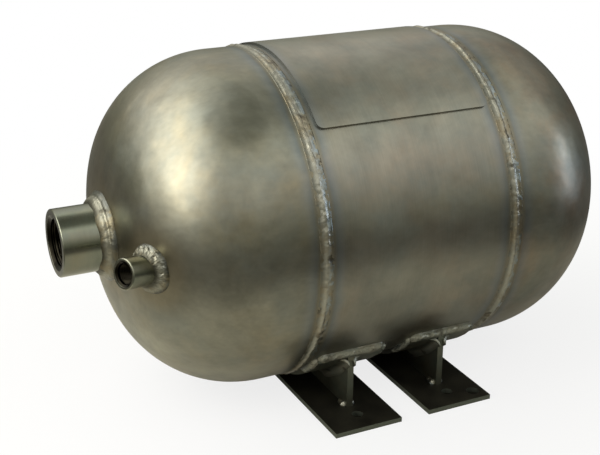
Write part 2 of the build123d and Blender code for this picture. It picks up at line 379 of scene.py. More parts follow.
class RippleTool:
    """Geometry nodes that add ripples and lumps to a smooth weld bead.

    A bead is a row of scallops, one for each puddle, which lag behind at the toes. Lumps of noise
    bend the row and swell the bead, and both die away at the toes, where the bead meets the plate.
    """

    INPUTS = ("Pitch", "Ripple Height", "Lump Size", "Lump Height", "Seed")
    LUMP_DETAIL = 3.0
    LUMP_ROUGHNESS = 0.6
    # The noise stays near its middle, so it is centred about there and made stronger
    LUMP_MEAN = 0.55
    LUMP_GAIN = 3.0
    # In scallops: how far the lumps push the row along, and how far its toes lag
    ROW_WANDER = 6.0
    TOE_LAG = 0.7
    # Taken off the scallops, so that they add hardly any height on the whole
    SCALLOP_MEAN = 0.6

    def __init__(self) -> None:
        """Builds the node tree once."""
        tree = bpy.data.node_groups.new("weld_ripples", "GeometryNodeTree")
        tree.interface.new_socket("Geometry", in_out="INPUT", socket_type="NodeSocketGeometry")
        for title in self.INPUTS:
            tree.interface.new_socket(title, in_out="INPUT", socket_type="NodeSocketFloat")
        tree.interface.new_socket("Finish", in_out="INPUT", socket_type="NodeSocketMaterial")
        tree.interface.new_socket("Geometry", in_out="OUTPUT", socket_type="NodeSocketGeometry")
        self.tree = tree
        given = add_node(tree, "NodeGroupInput").outputs
        along, across = (
            add_node(tree, "GeometryNodeInputNamedAttribute", {"Name": title}, data_type="FLOAT").outputs[0]
            for title in ("along", "across"))
        square = add_node(tree, "ShaderNodeMath", {0: across, 1: across}, operation="MULTIPLY").outputs[0]
        lumps = self.lumps(given)
        ripple = self.ripple(given, along, square, lumps)
        lift = self.lift(given, square, lumps, ripple)
        normal = add_node(tree, "GeometryNodeInputNormal").outputs[0]
        offset = add_node(tree, "ShaderNodeVectorMath", {0: normal, "Scale": lift},
                          operation="SCALE").outputs[0]
        moved = add_node(tree, "GeometryNodeSetPosition",
                         {"Geometry": given["Geometry"], "Offset": offset}).outputs[0]
        real = add_node(tree, "GeometryNodeRealizeInstances", {"Geometry": moved}).outputs[0]
        dressed = add_node(tree, "GeometryNodeSetMaterial",
                           {"Geometry": real, "Material": given["Finish"]}).outputs[0]
        add_node(tree, "NodeGroupOutput", {"Geometry": dressed})

    def lumps(self, given: bpy.types.NodeOutputs) -> Socket:
        """Noise with lumps of the given size.

        Args:
            given: The tree's inputs.

        Returns:
            The noise, from about 0 to 1.
        """
        place = add_node(self.tree, "GeometryNodeInputPosition").outputs[0]
        density = add_node(self.tree, "ShaderNodeMath", {0: 1.0, 1: given["Lump Size"]},
                           operation="DIVIDE").outputs[0]
        return add_node(self.tree, "ShaderNodeTexNoise",
                        {"Vector": place, "W": given["Seed"], "Scale": density, "Detail": self.LUMP_DETAIL,
                         "Roughness": self.LUMP_ROUGHNESS}, noise_dimensions="4D").outputs[0]

    def ripple(self, given: bpy.types.NodeOutputs, along: Socket, square: Socket, lumps: Socket) -> Socket:
        """Height of the scallops.

        Args:
            given: The tree's inputs.
            along: Length of path.
            square: Square of the place across the bead.
            lumps: Noise that bends the row.

        Returns:
            Metres above or below the smooth bead.
        """
        tree = self.tree
        wander = add_node(tree, "ShaderNodeMath", {0: lumps, 1: self.ROW_WANDER},
                          operation="MULTIPLY").outputs[0]
        steps = add_node(tree, "ShaderNodeMath", {0: along, 1: given["Pitch"]}, operation="DIVIDE").outputs[0]
        bent = add_node(tree, "ShaderNodeMath", {0: square, 1: self.TOE_LAG, 2: steps},
                        operation="MULTIPLY_ADD").outputs[0]
        phase = add_node(tree, "ShaderNodeMath", {0: bent, 1: wander}, operation="ADD").outputs[0]
        angle = add_node(tree, "ShaderNodeMath", {0: phase, 1: math.pi}, operation="MULTIPLY").outputs[0]
        wave = add_node(tree, "ShaderNodeMath", {0: angle}, operation="SINE").outputs[0]
        scallop = add_node(tree, "ShaderNodeMath", {0: wave}, operation="ABSOLUTE").outputs[0]
        level = add_node(tree, "ShaderNodeMath", {0: scallop, 1: self.SCALLOP_MEAN},
                         operation="SUBTRACT").outputs[0]
        return add_node(tree, "ShaderNodeMath", {0: level, 1: given["Ripple Height"]},
                        operation="MULTIPLY").outputs[0]

    def lift(self, given: bpy.types.NodeOutputs, square: Socket, lumps: Socket, ripple: Socket) -> Socket:
        """Height of ripples and lumps together.

        Args:
            given: The tree's inputs.
            square: Square of the place across the bead.
            lumps: Noise that swells the bead.
            ripple: Height of the scallops.

        Returns:
            Metres above or below the smooth bead, 0 at both toes.
        """
        tree = self.tree
        crown = add_node(tree, "ShaderNodeMath", {0: 1.0, 1: square}, operation="SUBTRACT",
                         use_clamp=True).outputs[0]
        swell = add_node(tree, "ShaderNodeMath", {0: lumps, 1: self.LUMP_MEAN},
                         operation="SUBTRACT").outputs[0]
        gain = add_node(tree, "ShaderNodeMath", {0: given["Lump Height"], 1: self.LUMP_GAIN},
                        operation="MULTIPLY").outputs[0]
        raised = add_node(tree, "ShaderNodeMath", {0: swell, 1: gain, 2: ripple},
                          operation="MULTIPLY_ADD").outputs[0]
        return add_node(tree, "ShaderNodeMath", {0: raised, 1: crown}, operation="MULTIPLY").outputs[0]

    def apply(self, piece: bpy.types.Object, sizes: RippleSizes, seed: float) -> None:
        """Runs the tree on a bead and keeps the result as a plain mesh.

        Args:
            piece: The smooth bead, with its along and across attributes.
            sizes: The ripples' sizes.
            seed: Picks the pattern of lumps.
        """
        modifier = piece.modifiers.new("ripples", "NODES")
        modifier.node_group = self.tree
        values = dict(zip(self.INPUTS, (sizes.pitch, sizes.height, sizes.lump_size, sizes.lump_height, seed)))
        values["Finish"] = piece.data.materials[0]
        for item in self.tree.interface.items_tree:
            if item.in_out == "INPUT" and item.name in values:
                modifier[item.identifier] = values[item.name]
        shown = piece.evaluated_get(bpy.context.evaluated_depsgraph_get())
        plain = bpy.data.meshes.new_from_object(shown)
        piece.modifiers.remove(modifier)
        plain.name = piece.name
        piece.data = plain
        plain.shade_smooth()


@dataclass(frozen=True)
class HeatBand:
    """Temper colours beside a weld: stops of millimetres from the weld, hex code and strength.

    Steel that was too hot for a moment keeps a thin film, straw and brown close to the bead and
    blue further out, and the eye reads it as a soft dark edge along the weld. The reach is in
    millimetres. The stray, in metres, is how far clouds push the band about, and the margin leaves
    room for that.
    """

    reach: float
    stops: Stops
    stray: float = 8 * MM
    margin: float = 4 * MM

    def spread(self) -> list[tuple[float, str, float]]:
        """The stops with their places from 0 to 1."""
        return [(place / self.reach, code, strength) for place, code, strength in self.stops]

    def tint(self, tree: Tree, toned: Socket, gap: Socket, clouds: Socket) -> Socket:
        """Mixes the band into a colour.

        Args:
            tree: The material's node tree.
            toned: The colour so far.
            gap: Distance from the weld, in metres.
            clouds: Noise that breaks the band up.

        Returns:
            The tinted colour.
        """
        strayed = add_node(tree, "ShaderNodeMath", {0: clouds, 1: self.stray, 2: gap},
                           operation="MULTIPLY_ADD").outputs[0]
        share = add_node(tree, "ShaderNodeMath", {0: strayed, 1: self.reach * MM + self.margin},
                         operation="DIVIDE").outputs[0]
        ramp = add_node(tree, "ShaderNodeValToRGB", {0: share})
        set_stops(ramp.color_ramp, self.spread())
        return add_node(tree, "ShaderNodeMix",
                        {MIX_FACTOR: ramp.outputs["Alpha"], MIX_A: toned, MIX_B: ramp.outputs["Color"]},
                        data_type="RGBA").outputs[MIX_RESULT]


GIRTH_HEAT = HeatBand(30.0, (
    (0.0, "#86806a", 0.3), (8.0, "#7f745a", 0.42), (10.5, "#5d594c", 0.45), (13.0, "#5b6873", 0.45),
    (17.0, "#768088", 0.28), (24.0, "#7d7a68", 0.1), (30.0, "#7d7a68", 0.0)))
NOZZLE_HEAT = HeatBand(60.0, (
    (0.0, "#85785a", 0.5), (20.0, "#77694c", 0.42), (30.0, "#5f594a", 0.3), (42.0, "#6a6d6a", 0.15),
    (60.0, "#7d7a68", 0.0)))


@dataclass(frozen=True)
class StainlessFinish:
    """Stainless steel as it left the mill, the press or the lathe.

    A thin uneven film and much handling leave it satin: the eye sees soft warm and cool clouds, a
    fine grain that follows the way it was rolled or turned, and reflections that blur and waver.
    The stretch of the grain is along X, Y and Z. Real grain is a tenth of a millimetre wide and
    too fine to show, so its spacing is as coarse as it needs to be seen.
    """

    name: str
    base: str
    warm: str
    cool: str
    roughness: float
    cloud_size: float
    grain_spacing: float
    grain_stretch: tuple[float, float, float]
    wave_height: float
    drift: float
    # Colour of a bore, painted dark as painted shade inside the hollow coupling
    bore: Optional[str] = None
    warm_share: float = 0.85
    cool_share: float = 0.8
    warm_edges: tuple[float, float] = (0.42, 0.68)
    cool_edges: tuple[float, float] = (0.45, 0.7)
    patch_ratio: float = 1.7
    patch_seed: float = 7.0
    drift_size: float = 100 * MM
    drift_seed: float = 3.0
    wave_size: float = 38 * MM
    grain_edges: tuple[float, float] = (0.25, 0.75)
    grain_tone: float = 0.05
    grain_depth: float = 0.03 * MM
    smoothest: float = -0.05
    roughest: float = 0.07

    def build(self, tank: Optional[TankForm] = None, nozzles: Iterable[Nozzle] = ()) -> bpy.types.Material:
        """Makes the material.

        Args:
            tank: Given where the girth welds' temper colours show.
            nozzles: Couplings whose temper colours show.

        Returns:
            The material.
        """
        material = new_material(self.name)
        tree = material.node_tree
        place = add_node(tree, "ShaderNodeTexCoord").outputs["Object"]
        clouds = add_node(tree, "ShaderNodeTexNoise",
                          {"Vector": place, "Scale": 1 / self.cloud_size, "Detail": 4.0, "Roughness": 0.55,
                           "Distortion": 0.4}).outputs[0]
        patches = add_node(tree, "ShaderNodeTexNoise",
                           {"Vector": place, "W": self.patch_seed,
                            "Scale": self.patch_ratio / self.cloud_size, "Detail": 5.0,
                            "Roughness": 0.6}, noise_dimensions="4D").outputs[0]
        stretch = tuple(1 / (self.grain_spacing * factor) for factor in self.grain_stretch)
        lined = add_node(tree, "ShaderNodeMapping", {"Vector": place, "Scale": stretch}).outputs[0]
        grain = add_node(tree, "ShaderNodeTexNoise",
                         {"Vector": lined, "Scale": 1.0, "Detail": 3.0, "Roughness": 0.5}).outputs[0]
        toned = self.clouded(tree, place, clouds, patches, grain)
        # Painted shade: the bore is painted dark
        if self.bore:
            inside = add_node(tree, "ShaderNodeAttribute", attribute_name="across").outputs["Fac"]
            toned = add_node(tree, "ShaderNodeMix",
                             {MIX_FACTOR: inside, MIX_A: toned, MIX_B: colour(self.bore)},
                             data_type="RGBA").outputs[MIX_RESULT]
        if tank:
            toned = GIRTH_HEAT.tint(tree, toned, self.girth_gap(tree, place, tank), clouds)
        for nozzle in nozzles:
            toned = NOZZLE_HEAT.tint(tree, toned, self.nozzle_gap(tree, place, nozzle), clouds)
        rough = add_node(tree, "ShaderNodeMapRange",
                         {VALUE: patches, FROM_LOW: NOISE_LOW, FROM_HIGH: NOISE_HIGH,
                          TO_LOW: self.roughness + self.smoothest,
                          TO_HIGH: self.roughness + self.roughest}).outputs[0]
        waves = add_node(tree, "ShaderNodeTexNoise",
                         {"Vector": place, "Scale": 1 / self.wave_size, "Detail": 2.0,
                          "Roughness": 0.4}).outputs[0]
        wavy = add_node(tree, "ShaderNodeBump", {"Height": waves, "Distance": self.wave_height,
                                                 "Strength": 1.0}).outputs[0]
        fine = add_node(tree, "ShaderNodeBump",
                        {"Height": grain, "Distance": self.grain_depth, "Strength": 0.6,
                         "Normal": wavy}).outputs[0]
        shader = add_node(tree, "ShaderNodeBsdfPrincipled",
                          {"Base Color": toned, "Metallic": 1.0, "Roughness": rough,
                           "Normal": fine}).outputs[0]
        add_node(tree, "ShaderNodeOutputMaterial", {"Surface": shader})
        return material

    def clouded(self, tree: Tree, place: Socket, clouds: Socket, patches: Socket, grain: Socket) -> Socket:
        """Mixes the warm and cool clouds, and shades them by the grain and a slow drift.

        Args:
            tree: The material's node tree.
            place: Object coordinates.
            clouds: Noise of the warm clouds.
            patches: Noise of the cool clouds.
            grain: Noise of the grain.

        Returns:
            The colour.
        """
        warm = add_node(tree, "ShaderNodeMapRange",
                        {VALUE: clouds, FROM_LOW: self.warm_edges[0], FROM_HIGH: self.warm_edges[1],
                         TO_HIGH: self.warm_share}).outputs[0]
        cool = add_node(tree, "ShaderNodeMapRange",
                        {VALUE: patches, FROM_LOW: self.cool_edges[0], FROM_HIGH: self.cool_edges[1],
                         TO_HIGH: self.cool_share}).outputs[0]
        toned = colour(self.base)
        for share, code in ((warm, self.warm), (cool, self.cool)):
            toned = add_node(tree, "ShaderNodeMix", {MIX_FACTOR: share, MIX_A: toned, MIX_B: colour(code)},
                             data_type="RGBA").outputs[MIX_RESULT]
        grained = add_node(tree, "ShaderNodeMapRange",
                           {VALUE: grain, FROM_LOW: self.grain_edges[0], FROM_HIGH: self.grain_edges[1],
                            TO_LOW: 1 - self.grain_tone, TO_HIGH: 1 + self.grain_tone}).outputs[0]
        drift = add_node(tree, "ShaderNodeTexNoise",
                         {"Vector": place, "W": self.drift_seed, "Scale": 1 / self.drift_size, "Detail": 5.0,
                          "Roughness": 0.72, "Distortion": 0.3}, noise_dimensions="4D").outputs[0]
        shaded = add_node(tree, "ShaderNodeMapRange",
                          {VALUE: drift, FROM_LOW: NOISE_LOW, FROM_HIGH: NOISE_HIGH,
                           TO_LOW: 1 - self.drift, TO_HIGH: 1 + self.drift}).outputs[0]
        strength = add_node(tree, "ShaderNodeMath", {0: grained, 1: shaded}, operation="MULTIPLY").outputs[0]
        return add_node(tree, "ShaderNodeVectorMath", {0: toned, "Scale": strength},
                        operation="SCALE").outputs[0]

    def girth_gap(self, tree: Tree, place: Socket, tank: TankForm) -> Socket:
        """Distance from the nearer girth weld.

        Args:
            tree: The material's node tree.
            place: Object coordinates.
            tank: Where the welds are.

        Returns:
            Metres along the tank.
        """
        along = add_node(tree, "ShaderNodeSeparateXYZ", {0: place}).outputs["X"]
        reach = add_node(tree, "ShaderNodeMath", {0: along}, operation="ABSOLUTE").outputs[0]
        gap = add_node(tree, "ShaderNodeMath", {0: reach, 1: tank.weld_x}, operation="SUBTRACT").outputs[0]
        return add_node(tree, "ShaderNodeMath", {0: gap}, operation="ABSOLUTE").outputs[0]

    def nozzle_gap(self, tree: Tree, place: Socket, nozzle: Nozzle) -> Socket:
        """Distance from a coupling's side.

        Args:
            tree: The material's node tree.
            place: Object coordinates.
            nozzle: The coupling.

        Returns:
            Metres, square to the coupling's axis.
        """
        arm = add_node(tree, "ShaderNodeVectorMath", {0: place, 1: nozzle.mouth},
                       operation="SUBTRACT").outputs[0]
        cross = add_node(tree, "ShaderNodeVectorMath", {0: arm, 1: nozzle.axis},
                         operation="CROSS_PRODUCT").outputs[0]
        off = add_node(tree, "ShaderNodeVectorMath", {0: cross}, operation="LENGTH").outputs["Value"]
        return add_node(tree, "ShaderNodeMath", {0: off, 1: nozzle.form.outer},
                        operation="SUBTRACT").outputs[0]


# Rolled sheet: its grain runs round the tank, and it lies flatter than the pressed heads
SHELL_FINISH = StainlessFinish(
    name="mill_finish_stainless_rolled", base="#8b8a7f", warm="#91897b", cool="#83867f", roughness=0.34,
    cloud_size=60 * MM, grain_spacing=0.9 * MM, grain_stretch=(1.0, 60.0, 60.0), wave_height=0.6 * MM,
    drift=0.26)
# Pressed sheet: drawn over the die, it has a coarser grain, broader clouds and slow dents
HEAD_FINISH = StainlessFinish(
    name="mill_finish_stainless_pressed", base="#89887b", warm="#908974", cool="#7f827a", roughness=0.34,
    cloud_size=70 * MM, grain_spacing=1.6 * MM, grain_stretch=(9.0, 3.0, 3.0), wave_height=1.1 * MM,
    drift=0.33)
# The head without couplings is browner, as if it had been heated more
PLAIN_HEAD_FINISH = replace(HEAD_FINISH, name="mill_finish_stainless_pressed_plain", warm="#93826e")
# Turned bar: clean, with sharper reflections than the sheet; its bore and thread are painted dark as painted
# shade
COUPLING_FINISH = StainlessFinish(
    name="turned_stainless_bar", base="#7e8174", warm="#83806f", cool="#767c70", roughness=0.2,
    cloud_size=30 * MM, grain_spacing=0.7 * MM, grain_stretch=(1.0, 30.0, 30.0), wave_height=0.05 * MM,
    drift=0.1, bore="#211f19")
# Hot-rolled plate without its scale: dull, grey-green and blotched, with hardly a reflection
SADDLE_FINISH = StainlessFinish(
    name="hot_rolled_plate_dull", base="#696c61", warm="#675f4f", cool="#5e655b", roughness=0.46,
    cloud_size=40 * MM, grain_spacing=1.4 * MM, grain_stretch=(1.0, 1.0, 1.0), wave_height=0.15 * MM,
    drift=0.25)


@dataclass(frozen=True)
class WeldFinish:
    """Weld metal as it was laid.

    It froze in ripples under its own heat: the eye sees a bright ridge between darker toes, with
    patches of straw film, and here and there a speck of soot. Pale blue patches on the right flank are a
    painted highlight of the bluish side light.
    """

    name: str = "stainless_weld_as_laid"
    ridge: str = "#a5a498"
    toe: str = "#74746a"
    gold: str = "#8a7a5c"
    blue: str = "#96a3a9"
    # Painted highlight: pale blue painted in patches on the right flank, for the bluish side light
    soot: str = "#453f33"
    warmth: float = 0.52
    flank_blue_highlight_share: float = 0.7
    rough: float = 0.36
    patch_size: float = 24 * MM
    spot_size: float = 11 * MM
    spot_seed: float = 5.0
    # Real pits are a few tenths of a millimetre wide, too fine to show, so these are coarser
    pit_size: float = 1.3 * MM
    pit_depth: float = 0.12 * MM
    toe_edges: tuple[float, float] = (0.25, 0.8)
    gold_edges: tuple[float, float] = (0.48, 0.62)
    flank_edges: tuple[float, float] = (0.1, 0.45)
    blue_edges: tuple[float, float] = (0.54, 0.42)
    soot_edges: tuple[float, float] = (0.42, 0.32)
    soot_share: float = 0.75
    left_roughening: float = 0.1
    right_smoothing: float = 0.06

    def build(self) -> bpy.types.Material:
        """Makes the material.

        Returns:
            The material.
        """
        material = new_material(self.name)
        tree = material.node_tree
        place = add_node(tree, "ShaderNodeTexCoord").outputs["Object"]
        across = add_node(tree, "ShaderNodeAttribute", attribute_name="across").outputs["Fac"]
        toned = colour(self.ridge)
        for share, code in self.tints(tree, place, across):
            toned = add_node(tree, "ShaderNodeMix", {MIX_FACTOR: share, MIX_A: toned, MIX_B: colour(code)},
                             data_type="RGBA").outputs[MIX_RESULT]
        rough = add_node(tree, "ShaderNodeMapRange",
                         {VALUE: across, FROM_LOW: -0.5, FROM_HIGH: 0.5,
                          TO_LOW: self.rough + self.left_roughening,
                          TO_HIGH: self.rough - self.right_smoothing}).outputs[0]
        pits = add_node(tree, "ShaderNodeTexNoise", {"Vector": place, "Scale": 1 / self.pit_size}).outputs[0]
        bump = add_node(tree, "ShaderNodeBump", {"Height": pits, "Distance": self.pit_depth}).outputs[0]
        shader = add_node(tree, "ShaderNodeBsdfPrincipled",
                          {"Base Color": toned, "Metallic": 1.0, "Roughness": rough,
                           "Normal": bump}).outputs[0]
        add_node(tree, "ShaderNodeOutputMaterial", {"Surface": shader})
        return material

    def tints(self, tree: Tree, place: Socket, across: Socket) -> list[tuple[Socket, str]]:
        """What is mixed over the ridge's colour, in order.

        Args:
            tree: The material's node tree.
            place: Object coordinates.
            across: From -1 at one toe to 1 at the other.

        Returns:
            The share and the hex code of each tint.
        """
        patches = add_node(tree, "ShaderNodeTexNoise",
                           {"Vector": place, "Scale": 1 / self.patch_size, "Detail": 5.0,
                            "Roughness": 0.7}).outputs[0]
        spots = add_node(tree, "ShaderNodeTexNoise",
                         {"Vector": place, "W": self.spot_seed, "Scale": 1 / self.spot_size, "Detail": 4.0},
                         noise_dimensions="4D").outputs[0]
        off = add_node(tree, "ShaderNodeMath", {0: across}, operation="ABSOLUTE").outputs[0]
        shares = []
        for noise, edges, most in ((off, self.toe_edges, 1.0), (patches, self.gold_edges, self.warmth),
                                   (across, self.flank_edges, 1.0), (patches, self.blue_edges, self.flank_blue_highlight_share),
                                   (spots, self.soot_edges, self.soot_share)):
            shares.append(add_node(tree, "ShaderNodeMapRange",
                                   {VALUE: noise, FROM_LOW: edges[0], FROM_HIGH: edges[1],
                                    TO_HIGH: most}).outputs[0])
        toe, gold, flank, flank_blue_highlight_share, soot = shares
        # Painted highlight: pale blue on the right flank only, in patches
        blue = add_node(tree, "ShaderNodeMath", {0: flank, 1: flank_blue_highlight_share}, operation="MULTIPLY").outputs[0]
        return [(toe, self.toe), (gold, self.gold), (blue, self.blue), (soot, self.soot)]


# Brushed after it was laid, so its toes are darker, its straw film is thinner and its painted blue highlight
# is weaker
COUPLING_WELD = WeldFinish(
    name="stainless_weld_brushed", ridge="#8b8a7d", toe="#504f45", gold="#7c7054", blue="#7d8486",
    soot="#3f3c33", warmth=0.5, flank_blue_highlight_share=0.25, rough=0.4)
# The saddles' beads were wire-brushed to a dull grey
DULL_WELD = WeldFinish(
    name="steel_weld_wire_brushed", ridge="#9a9c91", toe="#7b7d73", gold="#83796a", blue="#7d8284",
    soot="#3d3a32", warmth=0.4, flank_blue_highlight_share=0.3, rough=0.46)


@dataclass(frozen=True)
class PlateFinish:
    """Hot-rolled plate as it was cut.

    Its flat faces are painted almost black as painted shade under the tank, browner in patches, and
    cutting leaves its edges and holes in bare grey steel.
    """

    name: str = "plate_painted_dark_shade"
    # Painted shade: colour of the flat faces, almost black for the shade under the tank
    scale: str = "#383630"
    rubbed: str = "#48463c"
    cut: str = "#666b61"
    patch_size: float = 30 * MM
    # Real pits are a few tenths of a millimetre wide, too fine to show, so these are coarser
    pit_size: float = 1.5 * MM
    pit_depth: float = 0.05 * MM
    rub_edges: tuple[float, float] = (0.4, 0.7)
    cut_edges: tuple[float, float] = (0.5, 0.6)
    roughness: tuple[float, float] = (0.42, 0.56)
    # The dark faces are a little less than bare metal
    metallic: float = 0.85

    def build(self) -> bpy.types.Material:
        """Makes the material.

        Returns:
            The material.
        """
        material = new_material(self.name)
        tree = material.node_tree
        coords = add_node(tree, "ShaderNodeTexCoord").outputs
        patches = add_node(tree, "ShaderNodeTexNoise",
                           {"Vector": coords["Object"], "Scale": 1 / self.patch_size, "Detail": 5.0,
                            "Roughness": 0.6}).outputs[0]
        rubbed = add_node(tree, "ShaderNodeMapRange",
                          {VALUE: patches, FROM_LOW: self.rub_edges[0],
                           FROM_HIGH: self.rub_edges[1]}).outputs[0]
        up = add_node(tree, "ShaderNodeSeparateXYZ", {0: coords["Normal"]}).outputs["Z"]
        flat = add_node(tree, "ShaderNodeMath", {0: up}, operation="ABSOLUTE").outputs[0]
        cut = add_node(tree, "ShaderNodeMapRange",
                       {VALUE: flat, FROM_LOW: self.cut_edges[0], FROM_HIGH: self.cut_edges[1], TO_LOW: 1.0,
                        TO_HIGH: 0.0}).outputs[0]
        toned = colour(self.scale)
        for share, code in ((rubbed, self.rubbed), (cut, self.cut)):
            toned = add_node(tree, "ShaderNodeMix", {MIX_FACTOR: share, MIX_A: toned, MIX_B: colour(code)},
                             data_type="RGBA").outputs[MIX_RESULT]
        rough = add_node(tree, "ShaderNodeMapRange",
                         {VALUE: patches, FROM_LOW: NOISE_LOW, FROM_HIGH: NOISE_HIGH,
                          TO_LOW: self.roughness[0], TO_HIGH: self.roughness[1]}).outputs[0]
        pits = add_node(tree, "ShaderNodeTexNoise",
                        {"Vector": coords["Object"], "Scale": 1 / self.pit_size}).outputs[0]
        bump = add_node(tree, "ShaderNodeBump", {"Height": pits, "Distance": self.pit_depth}).outputs[0]
        shader = add_node(tree, "ShaderNodeBsdfPrincipled",
                          {"Base Color": toned, "Metallic": self.metallic, "Roughness": rough,
                           "Normal": bump}).outputs[0]
        add_node(tree, "ShaderNodeOutputMaterial", {"Surface": shader})
        return material


@dataclass(frozen=True)
class Lamp:
    """A soft rectangular lamp that points at the tank.

    Azimuth is degrees from +Y towards +X and elevation is degrees above the floor, both as seen
    from the tank. Distance, width and height are metres, and power is watts.
    """

    name: str
    azimuth: float
    elevation: float
    distance: float
    size: tuple[float, float]
    power: float
    tone: str

    def hang(self, aim: Vector) -> None:
        """Makes the lamp.

        Args:
            aim: The point that it faces.
        """
        light = bpy.data.lights.new(self.name, "AREA")
        light.shape = "RECTANGLE"
        light.size, light.size_y = self.size
        light.energy = self.power
        light.color = colour(self.tone)[:3]
        way = way_towards(self.azimuth, self.elevation)
        holder = bpy.data.objects.new(self.name, light)
        holder.location = aim + self.distance * way
        holder.rotation_mode = "QUATERNION"
        holder.rotation_quaternion = way.to_track_quat("Z", "Y")
        bpy.context.scene.collection.objects.link(holder)


LAMPS = (
    Lamp("key_softbox", -78, 43, 2.4, (1.9, 2.0), 27, "#fffcf4"),
    Lamp("key_core", -103, 27, 2.4, (1.0, 1.3), 12.5, "#fffbf2"),
    Lamp("low_fill", -97, 19, 2.4, (2.3, 1.8), 7.5, "#fffaf0"),
    Lamp("back_fill", -35, 52, 2.4, (1.2, 2.6), 9, "#fffaf2"),
    Lamp("side_window", 112, 5, 2.0, (0.3, 1.0), 4.6, "#dbe8ff"))

# From the horizon to overhead: dim walls, a pale ring of ceiling light, and a dim middle
SURROUNDINGS = (
    (0.0, "#4a4e3e", 1), (0.1, "#575a48", 1), (0.25, "#818273", 1), (0.4, "#b0ada2", 1), (0.57, "#d2d0ca", 1),
    (0.73, "#e5e4df", 1), (0.83, "#f6f8ed", 1), (0.925, "#616458", 1), (1.0, "#616458", 1))


